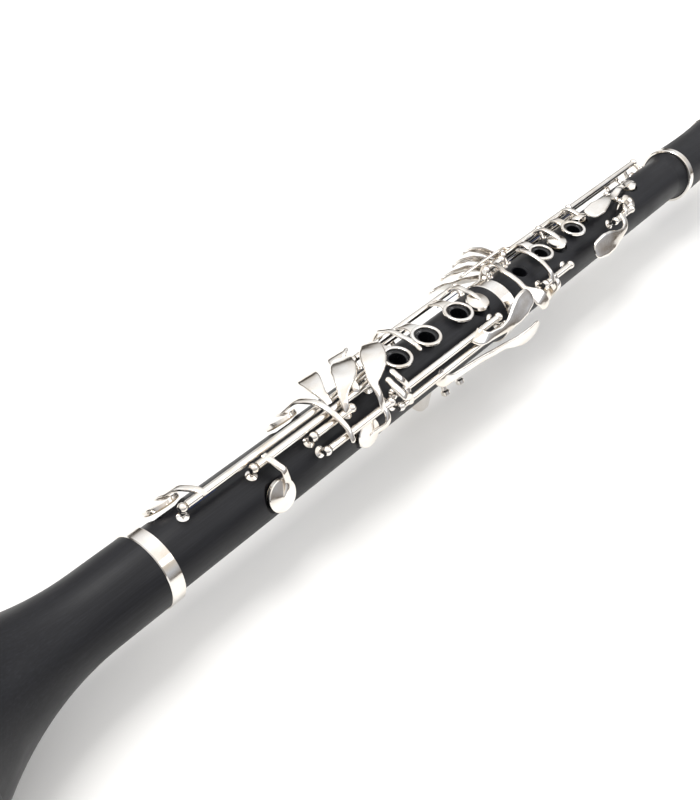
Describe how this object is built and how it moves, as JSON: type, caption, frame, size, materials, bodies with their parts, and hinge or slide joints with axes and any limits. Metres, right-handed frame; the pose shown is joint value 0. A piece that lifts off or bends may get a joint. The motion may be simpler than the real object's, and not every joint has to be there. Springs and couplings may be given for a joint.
{
  "type": "clarinet",
  "caption": "Straight single-reed woodwind with a flared bell, stacked black joints, finger rings and silver-plated keywork on posts.",
  "frame": {"origin": "centre of the bell's mouth, on the bore's axis", "axes": "+X along the bore from the bell's mouth to the mouthpiece's tip; +Z the side of the finger holes; +Y the player's right-hand side"},
  "size_m": [0.668, 0.08, 0.08],
  "materials": {
    "body_black": "satin black with a faint fine grain",
    "chimney_black": "glossy black",
    "mouthpiece_black": "polished black",
    "silver_plate": "polished silver plate",
    "hinge_steel": "bright drawn steel",
    "blued_steel": "blued spring steel",
    "pad_skin": "cream pad skin over felt",
    "cork": "natural cork",
    "cane": "natural cane"
  },
  "bodies": {
    "instrument": {"barrel": "body_black", "barrel_rings": "silver_plate", "bell": "body_black", "bell_ring": "silver_plate", "ligature": "silver_plate", "ligature_screws": "silver_plate", "lower_chimneys": "chimney_black", "lower_hinge_rods": "hinge_steel", "lower_joint": "body_black", "lower_joint_ring": "silver_plate", "lower_posts": "silver_plate", "mouthpiece": "mouthpiece_black", "needle_springs": "blued_steel", "reed": "cane", "tenon_corks": "cork", "thumb_bush": "chimney_black", "thumb_rest": "silver_plate", "thumb_rest_screws": "silver_plate", "upper_chimneys": "chimney_black", "upper_hinge_rods": "hinge_steel", "upper_joint": "body_black", "upper_joint_ring": "silver_plate", "upper_posts": "silver_plate"},
    "bridge_key": {"bridge_key": "silver_plate", "bridge_key_pad": "pad_skin"},
    "c_sharp_key": {"c_sharp_key": "silver_plate", "c_sharp_key_pad": "pad_skin"},
    "cross_key": {"cross_key": "silver_plate", "cross_key_pad": "pad_skin"},
    "g_sharp_key": {"g_sharp_key": "silver_plate", "g_sharp_key_pad": "pad_skin"},
    "left_e_lever": {"left_e_lever": "silver_plate"},
    "left_f_sharp_lever": {"left_f_sharp_lever": "silver_plate"},
    "low_a_flat_key": {"low_a_flat_key": "silver_plate", "low_a_flat_key_pad": "pad_skin"},
    "low_e_key": {"low_e_key": "silver_plate", "low_e_key_pad": "pad_skin"},
    "low_f_key": {"low_f_key": "silver_plate", "low_f_key_pad": "pad_skin"},
    "low_f_sharp_key": {"low_f_sharp_key": "silver_plate", "low_f_sharp_key_pad": "pad_skin"},
    "lower_ring_key": {"lower_ring_key": "silver_plate", "lower_ring_key_pad": "pad_skin"},
    "register_key": {"register_key": "silver_plate", "register_key_pad": "pad_skin"},
    "side_key_1": {"side_key_1": "silver_plate", "side_key_1_pad": "pad_skin"},
    "side_key_2": {"side_key_2": "silver_plate", "side_key_2_pad": "pad_skin"},
    "side_key_3": {"side_key_3": "silver_plate", "side_key_3_pad": "pad_skin"},
    "side_key_4": {"side_key_4": "silver_plate", "side_key_4_pad": "pad_skin"},
    "sliver_key": {"sliver_key": "silver_plate", "sliver_key_pad": "pad_skin"},
    "throat_a_key": {"throat_a_key": "silver_plate", "throat_a_key_pad": "pad_skin"},
    "thumb_ring_key": {"thumb_ring_key": "silver_plate"},
    "upper_ring_key": {"upper_ring_key": "silver_plate", "upper_ring_key_pad": "pad_skin"}
  },
  "joints": [
    {"name": "low_e_key_hinge", "type": "hinge", "parent": "instrument", "child": "low_e_key", "pos_m": [0.179, 0.00108, 0.02057], "axis": [1, 0, 0], "range_deg": [-9, 0], "stiffness_Nm_per_rad": 0.02, "springref_deg": 34.38},
    {"name": "low_f_key_hinge", "type": "hinge", "parent": "instrument", "child": "low_f_key", "pos_m": [0.2, -0.00788, 0.01903], "axis": [1, 0, 0], "range_deg": [-5, 0], "stiffness_Nm_per_rad": 0.02, "springref_deg": 34.38},
    {"name": "low_f_sharp_key_hinge", "type": "hinge", "parent": "instrument", "child": "low_f_sharp_key", "pos_m": [0.193, -0.00358, 0.02029], "axis": [1, 0, 0], "range_deg": [-7, 0], "stiffness_Nm_per_rad": 0.02, "springref_deg": 34.38},
    {"name": "low_a_flat_key_hinge", "type": "hinge", "parent": "instrument", "child": "low_a_flat_key", "pos_m": [0.212, -0.01453, 0.01403], "axis": [1, 0, 0], "range_deg": [-6, 0], "stiffness_Nm_per_rad": 0.02, "springref_deg": 34.38},
    {"name": "left_e_lever_hinge", "type": "hinge", "parent": "instrument", "child": "left_e_lever", "pos_m": [0.28, -0.01403, 0.01453], "axis": [1, 0, 0], "range_deg": [0, 6], "stiffness_Nm_per_rad": 0.02, "springref_deg": -34.38},
    {"name": "left_f_sharp_lever_hinge", "type": "hinge", "parent": "instrument", "child": "left_f_sharp_lever", "pos_m": [0.281, -0.01749, 0.0101], "axis": [1, 0, 0], "range_deg": [0, 6], "stiffness_Nm_per_rad": 0.02, "springref_deg": -34.38},
    {"name": "lower_ring_key_hinge", "type": "hinge", "parent": "instrument", "child": "lower_ring_key", "pos_m": [0.285, 0.01696, 0.0106], "axis": [1, 0, 0], "range_deg": [0, 4], "stiffness_Nm_per_rad": 0.02, "springref_deg": -34.38},
    {"name": "sliver_key_hinge", "type": "hinge", "parent": "instrument", "child": "sliver_key", "pos_m": [0.275, 0.01871, 0.0033], "axis": [1, 0, 0], "range_deg": [0, 6], "stiffness_Nm_per_rad": 0.02, "springref_deg": -34.38},
    {"name": "c_sharp_key_hinge", "type": "hinge", "parent": "instrument", "child": "c_sharp_key", "pos_m": [0.352, 0.01231, 0.01367], "axis": [1, 0, 0], "range_deg": [0, 8], "stiffness_Nm_per_rad": 0.02, "springref_deg": -34.38},
    {"name": "bridge_key_hinge", "type": "hinge", "parent": "instrument", "child": "bridge_key", "pos_m": [0.382, 0.01471, 0.01234], "axis": [1, 0, 0], "range_deg": [0, 4], "stiffness_Nm_per_rad": 0.02, "springref_deg": -34.38},
    {"name": "upper_ring_key_hinge", "type": "hinge", "parent": "instrument", "child": "upper_ring_key", "pos_m": [0.415, 0.01471, 0.01234], "axis": [1, 0, 0], "range_deg": [0, 4], "stiffness_Nm_per_rad": 0.02, "springref_deg": -34.38},
    {"name": "cross_key_hinge", "type": "hinge", "parent": "instrument", "child": "cross_key", "pos_m": [0.374, -0.0144, 0.01208], "axis": [1, 0, 0], "range_deg": [-7, 0], "stiffness_Nm_per_rad": 0.02, "springref_deg": 34.38},
    {"name": "g_sharp_key_hinge", "type": "hinge", "parent": "instrument", "child": "g_sharp_key", "pos_m": [0.448, -0.01157, 0.01482], "axis": [1, 0, 0], "range_deg": [0, 8], "stiffness_Nm_per_rad": 0.02, "springref_deg": -34.38},
    {"name": "thumb_ring_key_hinge", "type": "hinge", "parent": "instrument", "child": "thumb_ring_key", "pos_m": [0.403, 0.009, -0.01559], "axis": [1, 0, 0], "range_deg": [-4, 0], "stiffness_Nm_per_rad": 0.02, "springref_deg": 34.38},
    {"name": "side_key_1_hinge", "type": "hinge", "parent": "instrument", "child": "side_key_1", "pos_m": [0.364, 0.01743, 0.00704], "axis": [1, 0, 0], "range_deg": [0, 5], "stiffness_Nm_per_rad": 0.02, "springref_deg": -34.38},
    {"name": "side_key_2_hinge", "type": "hinge", "parent": "instrument", "child": "side_key_2", "pos_m": [0.364, 0.01862, 0.00262], "axis": [1, 0, 0], "range_deg": [0, 5], "stiffness_Nm_per_rad": 0.02, "springref_deg": -34.38},
    {"name": "side_key_3_hinge", "type": "hinge", "parent": "instrument", "child": "side_key_3", "pos_m": [0.364, 0.0187, -0.00197], "axis": [1, 0, 0], "range_deg": [0, 5], "stiffness_Nm_per_rad": 0.02, "springref_deg": -34.38},
    {"name": "side_key_4_hinge", "type": "hinge", "parent": "instrument", "child": "side_key_4", "pos_m": [0.364, 0.01767, -0.00643], "axis": [1, 0, 0], "range_deg": [0, 5], "stiffness_Nm_per_rad": 0.02, "springref_deg": -34.38},
    {"name": "throat_a_key_hinge", "type": "hinge", "parent": "instrument", "child": "throat_a_key", "pos_m": [0.453, 0, 0.0174], "axis": [0, 1, 0], "range_deg": [-4, 0], "stiffness_Nm_per_rad": 0.02, "springref_deg": 34.38},
    {"name": "register_key_hinge", "type": "hinge", "parent": "instrument", "child": "register_key", "pos_m": [0.468, 0, -0.0176], "axis": [0, 1, 0], "range_deg": [0, 4], "stiffness_Nm_per_rad": 0.02, "springref_deg": -34.38}
  ],
  "couplings": [
    {"joint": "left_e_lever_hinge", "follows": "low_e_key_hinge", "ratio": -0.6},
    {"joint": "left_f_sharp_lever_hinge", "follows": "low_f_sharp_key_hinge", "ratio": -0.6}
  ]
}
